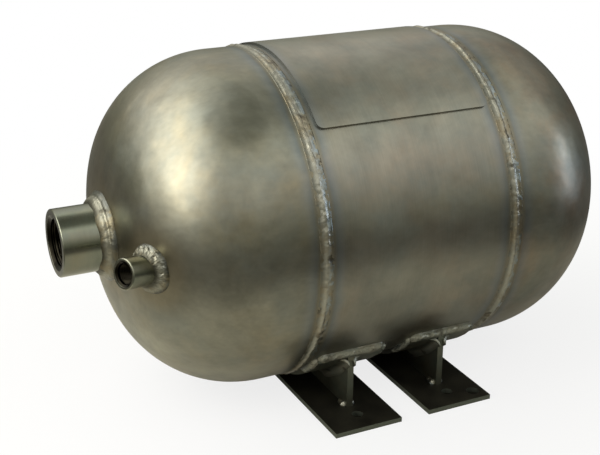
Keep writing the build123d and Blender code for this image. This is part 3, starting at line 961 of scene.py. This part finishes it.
@dataclass
class Studio:
    """The camera, the pale floor, the soft lamps and the surroundings that the metal mirrors."""

    eye: Vector = field(default_factory=lambda: Vector((-0.53635, -0.99097, 0.58672)))
    yaw: float = 0.4585
    pitch: float = 0.3774
    roll: float = 0.0069
    lens: float = 70.34
    film_width: float = 36.0
    aim: Vector = field(default_factory=lambda: Vector((0, 0, 0.175)))
    floor_half: float = 6.0
    # Painted light on the floor that the metal mirrors: a pool of light round the vessel, painted brighter to
    # the left, and dim beyond it
    painted_light_pool_edges: tuple[float, float] = (0.34, 0.62)
    painted_light_pool_albedo: float = 0.56
    far_albedo: float = 0.11
    painted_light_pool_tone: str = "#fffbee"
    painted_left_light_reach: float = 0.6
    painted_left_light: tuple[float, float] = (1.3, 0.75)
    # Painted shade: colour of the floor under the base plates, seen through their holes
    hole_painted_shade: str = "#24241f"
    seen_albedo: float = 0.8
    fade_edges: tuple[float, float] = (0.35, 0.95)
    near_glow: float = 0.8
    mirror_share: float = 0.05
    surroundings_strength: float = 1.5
    surroundings_foot: float = -0.1
    dim_azimuth: float = 70.0
    dim_level: float = 0.4
    dim_edges: tuple[float, float] = (0.80, 0.97)
    dim_top: tuple[float, float] = (0.68, 0.9)
    dim_top_share: float = 0.25

    def place_camera(self) -> None:
        """Makes the camera at the photograph's viewing angle."""
        forward = Vector((math.sin(self.yaw) * math.cos(self.pitch),
                          math.cos(self.yaw) * math.cos(self.pitch), -math.sin(self.pitch)))
        level = Vector((math.cos(self.yaw), -math.sin(self.yaw), 0.0))
        rise = level.cross(forward)
        right = math.cos(self.roll) * level + math.sin(self.roll) * rise
        up = -math.sin(self.roll) * level + math.cos(self.roll) * rise
        camera = bpy.data.objects.new("camera", bpy.data.cameras.new("camera"))
        camera.data.lens = self.lens
        camera.data.sensor_width = self.film_width
        camera.matrix_world = Matrix((
            (right.x, up.x, -forward.x, self.eye.x),
            (right.y, up.y, -forward.y, self.eye.y),
            (right.z, up.z, -forward.z, self.eye.z),
            (0.0, 0.0, 0.0, 1.0)))
        bpy.context.scene.collection.objects.link(camera)
        bpy.context.scene.camera = camera

    def whiteness(self, tree: Tree) -> tuple[Socket, Socket]:
        """How white the background is for a ray.

        Args:
            tree: The node tree of the floor or the world.

        Returns:
            Two shares of white. The first is 1 for what the camera sees directly or through glass.
            The second adds a little for what metal mirrors, as this steel mirrors a dim room.
        """
        path = add_node(tree, "ShaderNodeLightPath").outputs
        seen = add_node(tree, "ShaderNodeMath", {0: path["Is Camera Ray"], 1: path["Is Transmission Ray"]},
                        operation="MAXIMUM").outputs[0]
        mirrored = add_node(tree, "ShaderNodeMath", {0: path["Is Glossy Ray"], 1: self.mirror_share, 2: seen},
                            operation="MULTIPLY_ADD", use_clamp=True).outputs[0]
        return seen, mirrored

    def lay_floor(self) -> None:
        """Makes the pale floor, which keeps the vessel's shadow."""
        mesh = bpy.data.meshes.new("floor")
        half = self.floor_half
        corners = [(-half, -half, 0), (half, -half, 0), (half, half, 0), (-half, half, 0)]
        mesh.from_pydata(corners, [], [(0, 1, 2, 3)])
        material = new_material("pale_floor")
        tree = material.node_tree
        place = add_node(tree, "ShaderNodeTexCoord").outputs["Object"]
        off = add_node(tree, "ShaderNodeVectorMath", {0: place}, operation="LENGTH").outputs["Value"]
        seen, mirrored = self.whiteness(tree)
        matt = self.matt_floor(tree, place, off, seen)
        white = add_node(tree, "ShaderNodeEmission", {"Color": (1, 1, 1, 1)}).outputs[0]
        near, far = self.fade_edges
        fade = add_node(tree, "ShaderNodeMapRange",
                        {VALUE: off, FROM_LOW: near, FROM_HIGH: far, TO_LOW: self.near_glow, TO_HIGH: 1.0},
                        interpolation_type="SMOOTHSTEP").outputs[0]
        share = add_node(tree, "ShaderNodeMath", {0: fade, 1: mirrored}, operation="MULTIPLY").outputs[0]
        lit = add_node(tree, "ShaderNodeMixShader", {0: share, 1: matt, 2: white}).outputs[0]
        # Painted shade: the floor under the base plates, seen through their holes, is painted dark
        dark = add_node(tree, "ShaderNodeBsdfDiffuse", {"Color": colour(self.hole_painted_shade)}).outputs[0]
        under = self.under_plates(tree, place)
        shader = add_node(tree, "ShaderNodeMixShader", {0: under, 1: lit, 2: dark}).outputs[0]
        add_node(tree, "ShaderNodeOutputMaterial", {"Surface": shader})
        mesh.materials.append(material)
        floor = bpy.data.objects.new("floor", mesh)
        bpy.context.scene.collection.objects.link(floor)

    def matt_floor(self, tree: Tree, place: Socket, off: Socket, seen: Socket) -> Socket:
        """The floor's paint with a painted pool of light, which lights the vessel from below.

        Args:
            tree: The floor's node tree.
            place: Object coordinates.
            off: Distance from the middle.
            seen: 1 where the camera looks.

        Returns:
            The shader: a painted pool of light round the vessel, painted brighter to the left, and dim beyond
                it.
        """
        # Painted pool of light: the floor is paler near the vessel and dim beyond it where the camera doesn't
        # look
        near, far = self.painted_light_pool_edges
        pool = add_node(tree, "ShaderNodeMapRange",
                        {VALUE: off, FROM_LOW: near, FROM_HIGH: far, TO_LOW: self.painted_light_pool_albedo,
                         TO_HIGH: self.far_albedo}, interpolation_type="SMOOTHSTEP").outputs[0]
        # Painted light: the pool is painted brighter to the left, towards the key lamps
        aside = add_node(tree, "ShaderNodeSeparateXYZ", {0: place}).outputs["X"]
        painted_left_light = add_node(tree, "ShaderNodeMapRange",
                        {VALUE: aside, FROM_LOW: -self.painted_left_light_reach, FROM_HIGH: self.painted_left_light_reach,
                         TO_LOW: self.painted_left_light[0], TO_HIGH: self.painted_left_light[1]}).outputs[0]
        pool = add_node(tree, "ShaderNodeMath", {0: pool, 1: painted_left_light}, operation="MULTIPLY").outputs[0]
        level = add_node(tree, "ShaderNodeMix", {0: seen, 2: pool, 3: self.seen_albedo},
                         data_type="FLOAT").outputs[0]
        cream = add_node(tree, "ShaderNodeMix",
                         {MIX_FACTOR: seen, MIX_A: colour(self.painted_light_pool_tone), MIX_B: (1, 1, 1, 1)},
                         data_type="RGBA").outputs[MIX_RESULT]
        paint = add_node(tree, "ShaderNodeVectorMath", {0: cream, "Scale": level},
                         operation="SCALE").outputs[0]
        return add_node(tree, "ShaderNodeBsdfDiffuse", {"Color": paint}).outputs[0]

    def under_plates(self, tree: Tree, place: Socket) -> Socket:
        """Marks the floor that the base plates cover, which shows only through their holes and is painted
        dark there as painted shade.

        Args:
            tree: The floor's node tree.
            place: Object coordinates.

        Returns:
            1 under the plates and 0 elsewhere.
        """
        low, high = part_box("right_saddle_base_plate")
        spot = add_node(tree, "ShaderNodeSeparateXYZ", {0: place}).outputs
        along, aside = (add_node(tree, "ShaderNodeMath", {0: spot[axis]}, operation="ABSOLUTE").outputs[0]
                        for axis in ("X", "Y"))
        inside = 1.0
        for value, limit, operation in ((along, low[0], "GREATER_THAN"), (along, high[0], "LESS_THAN"),
                                        (aside, high[1], "LESS_THAN")):
            held = add_node(tree, "ShaderNodeMath", {0: value, 1: limit}, operation=operation).outputs[0]
            inside = add_node(tree, "ShaderNodeMath", {0: inside, 1: held}, operation="MULTIPLY").outputs[0]
        return inside

    def light_world(self) -> None:
        """Makes the soft surroundings, white where the camera sees them."""
        world = bpy.data.worlds.new("studio")
        world.use_nodes = True
        tree = world.node_tree
        tree.nodes.clear()
        way = add_node(tree, "ShaderNodeTexCoord").outputs["Generated"]
        rise = add_node(tree, "ShaderNodeSeparateXYZ", {0: way}).outputs["Z"]
        share = add_node(tree, "ShaderNodeMapRange",
                         {VALUE: rise, FROM_LOW: self.surroundings_foot, FROM_HIGH: 1.0}).outputs[0]
        ramp = add_node(tree, "ShaderNodeValToRGB", {0: share})
        set_stops(ramp.color_ramp, SURROUNDINGS)
        shaded = add_node(tree, "ShaderNodeVectorMath",
                          {0: ramp.outputs[0], "Scale": self.dim_side(tree, way, rise)},
                          operation="SCALE").outputs[0]
        seen, mirrored = self.whiteness(tree)
        tone = add_node(tree, "ShaderNodeMix", {MIX_FACTOR: mirrored, MIX_A: shaded, MIX_B: (1, 1, 1, 1)},
                        data_type="RGBA").outputs[MIX_RESULT]
        level = add_node(tree, "ShaderNodeMix", {0: seen, 2: self.surroundings_strength, 3: 1.0},
                         data_type="FLOAT").outputs[0]
        surface = add_node(tree, "ShaderNodeBackground", {"Color": tone, "Strength": level}).outputs[0]
        add_node(tree, "ShaderNodeOutputWorld", {"Surface": surface})
        bpy.context.scene.world = world

    def dim_side(self, tree: Tree, way: Socket, rise: Socket) -> Socket:
        """Darkens the part of the room beyond the right head.

        Args:
            tree: The world's node tree.
            way: Direction looked in.
            rise: Its upward share.

        Returns:
            A factor on the surroundings' light.
        """
        flat = add_node(tree, "ShaderNodeVectorMath", {0: way, 1: (1.0, 1.0, 0.0)},
                        operation="MULTIPLY").outputs[0]
        flat = add_node(tree, "ShaderNodeVectorMath", {0: flat}, operation="NORMALIZE").outputs[0]
        facing = add_node(tree, "ShaderNodeVectorMath", {0: flat, 1: way_towards(self.dim_azimuth)},
                          operation="DOT_PRODUCT").outputs["Value"]
        inside = add_node(tree, "ShaderNodeMapRange",
                          {VALUE: facing, FROM_LOW: self.dim_edges[0], FROM_HIGH: self.dim_edges[1]},
                          interpolation_type="SMOOTHSTEP").outputs[0]
        low = add_node(tree, "ShaderNodeMapRange",
                       {VALUE: rise, FROM_LOW: self.dim_top[0], FROM_HIGH: self.dim_top[1], TO_LOW: 1.0,
                        TO_HIGH: self.dim_top_share}, interpolation_type="SMOOTHSTEP").outputs[0]
        both = add_node(tree, "ShaderNodeMath", {0: inside, 1: low}, operation="MULTIPLY").outputs[0]
        return add_node(tree, "ShaderNodeMapRange",
                        {VALUE: both, TO_LOW: 1.0, TO_HIGH: self.dim_level}).outputs[0]

    def build(self) -> None:
        """Makes the whole studio."""
        self.place_camera()
        self.lay_floor()
        self.light_world()
        for lamp in LAMPS:
            lamp.hang(self.aim)
        bpy.context.scene.view_settings.view_transform = "Standard"


@dataclass(frozen=True)
class CapForm:
    """Shape of a girth weld's cap: shares of its height, and widths as shares of its half width."""

    low: float
    ridge: float
    ridge_width: float
    top_shift: float
    second: float
    ripples: RippleSizes
    second_place: float = 0.45
    second_width: float = 0.2

    def lift(self, step: float, wander: float, top: float) -> float:
        """Height of the cap at one place.

        Args:
            step: From -1 at the left toe to 1 at the right toe.
            wander: How far the ridge strays here.
            top: 1 near the top of the tank and 0 away from it.

        Returns:
            Share of the cap's full height.
        """
        fade = 1 - step * step
        place = wander + self.top_shift * top
        main = self.ridge * math.exp(-((step - place) / self.ridge_width) ** 2)
        other = self.second * top * math.exp(-((step - self.second_place) / self.second_width) ** 2)
        return self.low * fade ** 2 + (main + other) * fade


# The left bead was laid in two passes over the top, and the right one in a single narrow pass
LEFT_CAP = CapForm(low=0.26, ridge=0.46, ridge_width=0.3, top_shift=-0.3, second=0.24,
                   ripples=RippleSizes(6.5 * MM, 0.4 * MM, 8 * MM, 1.2 * MM))
RIGHT_CAP = CapForm(low=0.16, ridge=0.6, ridge_width=0.24, top_shift=-0.15, second=0.0,
                    ripples=RippleSizes(7.0 * MM, 0.35 * MM, 8 * MM, 1.0 * MM))

STRAP_END_RIPPLES = RippleSizes(12 * MM, 0.9 * MM, 11 * MM, 2.0 * MM)
STRAP_SIDE_RIPPLES = RippleSizes(8 * MM, 1.0 * MM, 9 * MM, 1.9 * MM)
WEB_SEAM_RIPPLES = RippleSizes(5 * MM, 0.3 * MM, 12 * MM, 0.4 * MM)
FOOT_RIPPLES = RippleSizes(5 * MM, 0.6 * MM, 6 * MM, 0.8 * MM)


@dataclass(frozen=True)
class Corner:
    """One place along a fillet: its corner, and a leg along each of the two faces."""

    foot: Vector
    leg_out: Vector
    leg_up: Vector
    along: float


@dataclass(frozen=True)
class Fillet:
    """How a fillet bead is laid.

    Swell is how far the bead's middle bulges in mean legs, negative for a hollow bead. Groove is
    the dip between two passes in mean legs. A closed bead runs round to its start, and a tapered
    one shrinks to its ends.
    """

    ripples: RippleSizes
    swell: float
    groove: float = 0.0
    closed: bool = False
    taper: bool = True
    groove_place: float = 0.15
    groove_width: float = 0.2
    # Slow and quick changes of the leg's length: their length and their share of the leg
    uneven: tuple[tuple[float, float], ...] = ((57 * MM, 0.05), (25 * MM, 0.04))
    smallest_end: float = 0.1

    def scale(self, corner: Corner, total: float, seed: float) -> float:
        """Size of the bead at one place.

        Args:
            corner: The place.
            total: Length of the whole bead, in metres.
            seed: Shifts the slow changes.

        Returns:
            Share of the legs.
        """
        size = 1.0
        for (length, share), shift in zip(self.uneven, (seed, 0.0)):
            wave = 2 * math.pi * max(1, round(total / length)) / total
            size += share * math.sin(corner.along * wave + shift)
        if self.closed or not self.taper:
            return size
        leg = (corner.leg_out.length + corner.leg_up.length) / 2
        end = min(corner.along, total - corner.along) / leg
        return size * math.sqrt(max(self.smallest_end, 1 - max(0.0, 1 - end) ** 2))

    def bulge(self, step: float) -> float:
        """Height above the flat face of the bead in mean legs, with the step from -1 to 1."""
        dip = self.groove * math.exp(-((step - self.groove_place) / self.groove_width) ** 2)
        return self.swell * (1 - step * step) - dip


@dataclass
class WeldShop:
    """Lays every weld bead of the tank."""

    tank: TankForm
    metal: bpy.types.Material
    dull: bpy.types.Material
    coupling_metal: bpy.types.Material
    tool: RippleTool
    columns: int = 15
    sink: float = 0.5 * MM
    girth_rows: int = 900
    ring_rows: int = 240
    # Ways in which a girth weld's ridge strays: share of its half width, waves and seeds of shift
    strays: tuple[tuple[float, int, int], ...] = ((0.10, 3, 1), (0.05, 11, 2))
    top_turn: float = 1.12 * math.pi
    top_spread: float = 0.75

    def across(self) -> list[float]:
        """Places of a section's outer points, from -1 at one toe to 1 at the other."""
        return [-1 + 2 * column / (self.columns - 1) for column in range(self.columns)]

    def finish(self, piece: bpy.types.Object, node: str, sizes: RippleSizes, seed: float) -> None:
        """Adds the ripples, and lets the bead stand for its plain solid.

        Args:
            piece: The smooth bead.
            node: The solid that it replaces.
            sizes: The ripples' sizes.
            seed: Picks the pattern of lumps.
        """
        self.tool.apply(piece, sizes, seed)
        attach(piece, BODY)
        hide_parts(node)
        LOG.info("laid %s", piece.name)

    def girth(self, side: Side, form: CapForm, seed: float) -> None:
        """Lays the bead round the tank at one end of the shell: a low cap with a narrow ridge on it.

        Args:
            side: Which end.
            form: Shape of the cap.
            seed: Picks the pattern of lumps.
        """
        name = f"{side.name.lower()}_girth_weld"
        tank, steps = self.tank, self.across()
        low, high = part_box(name)
        half = (high[0] - low[0]) / 2 - self.sink
        height = (high[2] - low[2]) / 2 - tank.radius
        root = tank.radius - 2 * self.sink
        sections, along = [], []
        for row in range(self.girth_rows):
            turn = 2 * math.pi * row / self.girth_rows
            wander = sum(share * math.sin(waves * turn + shift * seed) for share, waves, shift in self.strays)
            top = math.exp(-((turn - self.top_turn) / self.top_spread) ** 2)
            points = [(step * half, tank.radius + height * form.lift(step, wander, top)) for step in steps]
            points += [(half, root), (-half, root)]
            sections.append([tank.on_ring(side.value * tank.weld_x + x, radius, turn)
                             for x, radius in points])
            along.append(turn * tank.radius)
        maker = MeshMaker(name + "_bead")
        maker.sweep(sections, steps + [1.0, -1.0], along, True)
        ripples = form.ripples.fitted(2 * math.pi * tank.radius)
        self.finish(maker.build(self.metal, ALL_SMOOTH), name, ripples, seed)

    def fillet(self, name: str, corners: Sequence[Corner], fillet: Fillet, seed: float,
               metal: bpy.types.Material) -> None:
        """Lays a fillet bead along a row of corners.

        Args:
            name: The solid that the bead replaces.
            corners: The corner at each place along the bead.
            fillet: How the bead is laid.
            seed: Picks the pattern of lumps.
            metal: The bead's finish.
        """
        total, ripples = corners[-1].along, fillet.ripples
        if fillet.closed:
            total *= len(corners) / (len(corners) - 1)
            ripples = ripples.fitted(total)
        sections = []
        for corner in corners:
            leg = (corner.leg_out.length + corner.leg_up.length) / 2
            scale = fillet.scale(corner, total, seed)
            out, up = corner.leg_out * scale, corner.leg_up * scale
            way = (out.normalized() + up.normalized()).normalized()
            points = []
            for step in self.across():
                flat = corner.foot + up.lerp(out, (step + 1) / 2)
                points.append(flat + fillet.bulge(step) * leg * scale * way)
            down, back = self.sink * up.normalized(), self.sink * out.normalized()
            points += [corner.foot + out - down, corner.foot - down - back, corner.foot + up - back]
            sections.append(points)
        maker = MeshMaker(name + "_bead")
        maker.sweep(sections, self.across() + [1.0, 1.0, -1.0], [corner.along for corner in corners],
                    fillet.closed)
        self.finish(maker.build(metal, ALL_SMOOTH), name, ripples, seed)

    def ring(self, nozzle: Nozzle, seed: float) -> None:
        """Lays the fillet round a coupling's foot.

        Args:
            nozzle: The coupling.
            seed: Picks the pattern of lumps.
        """
        form, axis = nozzle.form, nozzle.axis
        inside = nozzle.mouth - nozzle.length * axis
        corners = []
        for row in range(self.ring_rows):
            turn = 2 * math.pi * row / self.ring_rows
            out = nozzle.spoke(turn)
            foot = self.tank.drop_onto(inside + form.outer * out, -axis)
            toe = self.tank.drop_onto(inside + (form.outer + form.leg) * out, -axis)
            corners.append(Corner(foot, toe - foot, form.leg * axis, turn * (form.outer + form.leg / 2)))
        fillet = Fillet(form.ripples, form.weld_swell, form.weld_groove, closed=True)
        self.fillet(f"{form.name}_weld", corners, fillet, seed, self.coupling_metal)

    def saddle(self, side: Side, seed: float) -> None:
        """Lays every bead of one saddle.

        Args:
            side: Which saddle.
            seed: Picks the pattern of lumps.
        """
        form = SaddleForm.read(side)
        strap_end, strap_side = Fillet(STRAP_END_RIPPLES, 0.16), Fillet(STRAP_SIDE_RIPPLES, 0.2)
        web_seam, foot = Fillet(WEB_SEAM_RIPPLES, -0.2, taper=False), Fillet(FOOT_RIPPLES, 0.25)
        for end in End:
            number = 10 * seed + 3 * end.value
            self.fillet(f"{form.name}_strap_weld_{end.name.lower()}", form.strap_end(self.tank, end),
                        strap_end, number, self.dull)
            for flank in Side:
                spot = f"{end.name.lower()}_{flank.name.lower()}"
                self.fillet(f"{form.name}_side_weld_{spot}", form.strap_side(self.tank, end, flank),
                            strap_side, number + 1, self.dull)
                self.fillet(f"{form.name}_web_seam_{spot}", form.web_seam(self.tank, end, flank),
                            web_seam, number + 2, self.dull)
                self.fillet(f"{form.name}_foot_weld_{spot}", form.foot(end, flank),
                            foot, number + 4, self.metal)


@dataclass(frozen=True)
class SaddleForm:
    """Sizes of one saddle, in metres and degrees from straight down."""

    name: str
    strap_x: tuple[float, float]
    strap_radius: float
    strap_angle: float
    web_x: tuple[float, float]
    web_half: float
    plate_top: float
    end_leg: float = 7.0 * MM
    end_overlap: float = 1.12
    toe_sink: float = 0.15 * MM
    side_leg: float = 5.0 * MM
    side_angle: float = 14.0
    seam_leg: float = 9.0 * MM
    seam_start: float = 24.0
    seam_end_share: float = 0.25
    foot_leg: float = 4.5 * MM
    foot_length: float = 13.0 * MM
    foot_inset: float = 2.0 * MM
    step: float = 0.6 * MM
    fewest_steps: int = 8

    @classmethod
    def read(cls, side: Side) -> "SaddleForm":
        """Reads a saddle's sizes from the frame's solids.

        Args:
            side: Which saddle.

        Returns:
            The saddle's sizes.
        """
        name = f"{side.name.lower()}_saddle"
        low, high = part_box(name + "_strap")
        web_low, web_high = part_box(name + "_web")
        shell_low, shell_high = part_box("shell")
        radius = (shell_low[2] + shell_high[2]) / 2 - low[2]
        return cls(name=name, strap_x=(low[0], high[0]), strap_radius=radius,
                   strap_angle=math.degrees(math.asin(high[1] / radius)), web_x=(web_low[0], web_high[0]),
                   web_half=web_high[1], plate_top=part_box(name + "_base_plate")[1][2])

    def line(self, length: float) -> list[float]:
        """Places along a bead, about a step apart."""
        count = max(self.fewest_steps, round(length / self.step))
        return [length * number / count for number in range(count + 1)]

    def strap_end(self, tank: TankForm, end: End) -> list[Corner]:
        """Corners of the bead between the strap's end and the shell.

        Args:
            tank: Where the axis is.
            end: Front or back.

        Returns:
            The corners.
        """
        turn = math.radians(self.strap_angle)
        out = Vector((0, end.value * math.sin(turn), -math.cos(turn)))
        up_shell = Vector((0, end.value * math.cos(turn), math.sin(turn)))
        foot = Vector((self.strap_x[0], 0, tank.axis_height)) + tank.radius * out
        leg_up = (self.strap_radius - tank.radius) * self.end_overlap * out
        toe = self.end_leg * up_shell - self.toe_sink * out
        return [Corner(foot + Vector((along, 0, 0)), toe, leg_up, along)
                for along in self.line(self.strap_x[1] - self.strap_x[0])]

    def arc(self, tank: TankForm, end: End, x: float, radius: float, turns: tuple[float, float],
            out: Vector, leg_up: float) -> list[Corner]:
        """Corners of a bead that runs round the tank.

        Args:
            tank: Where the axis is.
            end: Front or back.
            x: Place along the tank.
            radius: Distance from the tank's axis.
            turns: Degrees from straight down where the bead starts and ends.
            out: The leg along the tank.
            leg_up: The leg away from the axis.

        Returns:
            The corners.
        """
        corners = []
        for along in self.line(radius * math.radians(turns[1] - turns[0])):
            turn = math.radians(turns[0]) + along / radius
            away = Vector((0, end.value * math.sin(turn), -math.cos(turn)))
            foot = Vector((x, 0, tank.axis_height)) + radius * away
            corners.append(Corner(foot, out, leg_up * away, along))
        return corners

    def strap_side(self, tank: TankForm, end: End, flank: Side) -> list[Corner]:
        """Corners of the bead between the strap's edge and the shell.

        Args:
            tank: Where the axis is.
            end: Front or back.
            flank: Which edge of the strap.

        Returns:
            The corners.
        """
        x = self.strap_x[0] if flank is Side.LEFT else self.strap_x[1]
        turns = (self.strap_angle - self.side_angle, self.strap_angle)
        out = Vector((flank.value * self.side_leg, 0, 0))
        return self.arc(tank, end, x, tank.radius, turns, out, self.strap_radius - tank.radius)

    def web_seam(self, tank: TankForm, end: End, flank: Side) -> list[Corner]:
        """Corners of the hollow bead between the web and the strap, up to the web's end.

        Args:
            tank: Where the axis is.
            end: Front or back.
            flank: Which face of the web.

        Returns:
            The corners.
        """
        x = self.web_x[0] if flank is Side.LEFT else self.web_x[1]
        reach = self.strap_radius + self.seam_end_share * self.seam_leg
        turns = (self.seam_start, math.degrees(math.asin(self.web_half / reach)))
        out = Vector((flank.value * self.seam_leg, 0, 0))
        return self.arc(tank, end, x, self.strap_radius, turns, out, self.seam_leg)

    def foot(self, end: End, flank: Side) -> list[Corner]:
        """Corners of the short bead between the web's foot and the base plate.

        Args:
            end: Front or back.
            flank: Which face of the web.

        Returns:
            The corners.
        """
        x = self.web_x[0] if flank is Side.LEFT else self.web_x[1]
        first = self.web_half - self.foot_inset
        out, up = Vector((flank.value * self.foot_leg, 0, 0)), Vector((0, 0, self.foot_leg))
        return [Corner(Vector((x, end.value * (first - along), self.plate_top)), out, up, along)
                for along in self.line(self.foot_length)]


@dataclass
class HeadShop:
    """Presses the head that has no couplings, smooth right to its pole."""

    tank: TankForm
    metal: bpy.types.Material
    wall: float = 4.57 * MM
    land: float = 1.6 * MM
    root_gap: float = 2.4 * MM
    groove: float = 7.0 * MM
    tip: float = 0.5 * MM
    around: int = 192
    rows: int = 48

    def dish(self, inset: float) -> list[tuple[float, float]]:
        """Outline of one face of the dish.

        Args:
            inset: How far the face lies inside the outer one.

        Returns:
            Distance from the weld's centre and radius, from the pole to the flange.
        """
        tank = self.tank
        crown, knuckle, join = tank.crown - inset, tank.knuckle - inset, tank.join_angle
        first = math.asin(self.tip / crown)
        points = []
        for row in range(self.rows):
            turn = first + (join - first) * row / self.rows
            points.append((tank.crown_centre + crown * math.cos(turn), crown * math.sin(turn)))
        for row in range(self.rows + 1):
            turn = join + (math.pi / 2 - join) * row / self.rows
            points.append((tank.straight + knuckle * math.cos(turn),
                           tank.knuckle_offset + knuckle * math.sin(turn)))
        return points

    def make(self, side: Side) -> None:
        """Makes the head in place of its plain solid, with a bevelled edge under the girth weld.

        Args:
            side: Which end of the tank it closes.
        """
        tank, inner = self.tank, self.tank.radius - self.wall
        outline = self.dish(0.0)
        outline += [(self.groove / 2, tank.radius), (self.root_gap / 2, inner + self.land),
                    (self.root_gap / 2, inner)]
        outline += reversed(self.dish(self.wall))
        turns = [2 * math.pi * number / self.around for number in range(self.around)]
        sections = [[tank.on_ring(side.value * (tank.weld_x + reach), radius, turn) for turn in turns]
                    for reach, radius in outline]
        name = f"{side.name.lower()}_head"
        maker = MeshMaker(name + "_pressed")
        maker.sweep(sections, [0.0] * self.around, [0.0] * len(sections), False)
        piece = maker.build(self.metal)
        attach(piece, BODY)
        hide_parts(name)
        LOG.info("pressed %s", piece.name)


@dataclass
class CouplingShop:
    """Turns the threaded couplings."""

    metal: bpy.types.Material
    around: int = 96
    rows_per_thread: int = 8
    chamfer: float = 0.8 * MM
    lip_round: float = 0.25 * MM
    lip_inset: float = 0.45 * MM
    mouth_step: float = 0.3 * MM
    mouth_drop: float = 0.4 * MM
    inner_clearance: float = 0.2 * MM
    mouth_share: float = 0.2
    mouth_depth: float = 0.5
    run_out_threads: float = 2.0
    smooth_angle: float = 35.0

    def outline(self, nozzle: Nozzle) -> list[tuple[float, float]]:
        """Outline of the coupling's outside and its mouth.

        Args:
            nozzle: The coupling.

        Returns:
            Height above the mouth's foot and radius, from the inner end to the mouth.
        """
        form, inner_end = nozzle.form, -nozzle.length
        return [(inner_end, nozzle.bore + self.inner_clearance), (inner_end, form.outer - self.chamfer),
                (inner_end + self.chamfer, form.outer), (form.lip - self.chamfer, form.outer),
                (form.lip - self.lip_round, form.outer - self.lip_inset),
                (form.lip, form.outer - self.chamfer),
                (form.lip, nozzle.bore + form.lip + self.mouth_step),
                (form.lip - self.mouth_drop, nozzle.bore + form.lip)]

    def thread(self, nozzle: Nozzle, turn: float) -> list[tuple[float, float]]:
        """Outline of the thread at one turn, which winds round the bore.

        Args:
            nozzle: The coupling.
            turn: Radians round the axis.

        Returns:
            Height above the mouth's foot and radius, from the mouth to the inner end.
        """
        form = nozzle.form
        rows = int(nozzle.length / form.pitch * self.rows_per_thread)
        start = form.lip * self.mouth_share
        run_out = self.run_out_threads * form.pitch
        points = []
        for row in range(rows + 1):
            z = start - (nozzle.length + start) * row / rows
            phase = (z / form.pitch + turn / (2 * math.pi)) % 1.0
            groove = 1 - abs(2 * phase - 1)
            entered = max(0.0, min(1.0, -z / run_out))
            left = max(0.0, min(1.0, (z + nozzle.length) / run_out))
            depth = groove * entered * left + self.mouth_depth * (1 - entered)
            points.append((z, nozzle.bore + form.thread_depth * depth))
        return points

    def make(self, nozzle: Nozzle) -> None:
        """Makes one coupling with its thread.

        Args:
            nozzle: The coupling's sizes and axis.
        """
        outline = self.outline(nozzle)
        sections = []
        for number in range(self.around):
            turn = 2 * math.pi * number / self.around
            out = nozzle.spoke(turn)
            sections.append([nozzle.mouth + z * nozzle.axis + radius * out
                             for z, radius in outline + self.thread(nozzle, turn)])
        # 0 outside and 1 in the bore, where the finish is painted dark as painted shade
        outer_points = len(outline) - 2
        inside = [0.0] * outer_points + [0.5] + [1.0] * (len(sections[0]) - outer_points - 1)
        maker = MeshMaker(f"{nozzle.form.name}_threaded")
        maker.sweep(sections, inside, [0.0] * self.around, True)
        piece = maker.build(self.metal, self.smooth_angle)
        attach(piece, BODY)
        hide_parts(f"{nozzle.form.name}_coupling")
        LOG.info("turned %s", piece.name)


@dataclass
class Vessel:
    """The whole tank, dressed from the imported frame."""

    nodes: dict[str, bpy.types.Object]
    record: dict

    def tank_form(self) -> TankForm:
        """Reads the tank's sizes from the frame.

        Returns:
            The sizes of its outside.
        """
        low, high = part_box("shell")
        weld_low, weld_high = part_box("right_girth_weld")
        return TankForm(radius=(high[2] - low[2]) / 2, axis_height=(high[2] + low[2]) / 2,
                        weld_x=(weld_low[0] + weld_high[0]) / 2)

    def dress(self, names: Iterable[str], material: bpy.types.Material) -> None:
        """Gives solids of the frame a finish.

        Args:
            names: Names of the nodes.
            material: Their finish.
        """
        for name in names:
            mesh = self.nodes[name].data
            mesh.materials.clear()
            mesh.materials.append(material)
            LOG.info("dressed %s", name)

    def build(self) -> None:
        """Dresses the solids and adds the detailed pieces."""
        tank = self.tank_form()
        nozzles = [Nozzle.read(form, self.record) for form in (OUTLET, GAUGE)]
        weld_metal, saddle, plate = WeldFinish().build(), SADDLE_FINISH.build(), PlateFinish().build()
        self.dress(["shell", "top_pad"], SHELL_FINISH.build(tank))
        self.dress(["left_head"], HEAD_FINISH.build(tank, nozzles))
        HeadShop(tank, PLAIN_HEAD_FINISH.build(tank)).make(Side.RIGHT)
        welds = WeldShop(tank, weld_metal, DULL_WELD.build(), COUPLING_WELD.build(), RippleTool())
        welds.girth(Side.LEFT, LEFT_CAP, 1.0)
        welds.girth(Side.RIGHT, RIGHT_CAP, 4.0)
        for number, nozzle in enumerate(nozzles):
            welds.ring(nozzle, 2.0 + number)
        couplings = CouplingShop(COUPLING_FINISH.build())
        for nozzle in nozzles:
            couplings.make(nozzle)
        for side in Side:
            prefix = f"{side.name.lower()}_saddle_"
            self.dress([prefix + "base_plate"], plate)
            self.dress([prefix + "web", prefix + "strap"], saddle)
            welds.saddle(side, 6.0 + side.value)


def main() -> None:
    """Builds the studio and the vessel."""
    logging.basicConfig(level=logging.INFO, format="%(name)s: %(message)s")
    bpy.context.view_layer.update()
    Studio().build()
    Vessel(frame["nodes"], frame["record"]).build()
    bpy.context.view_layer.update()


if __name__ == "__main__":
    main()
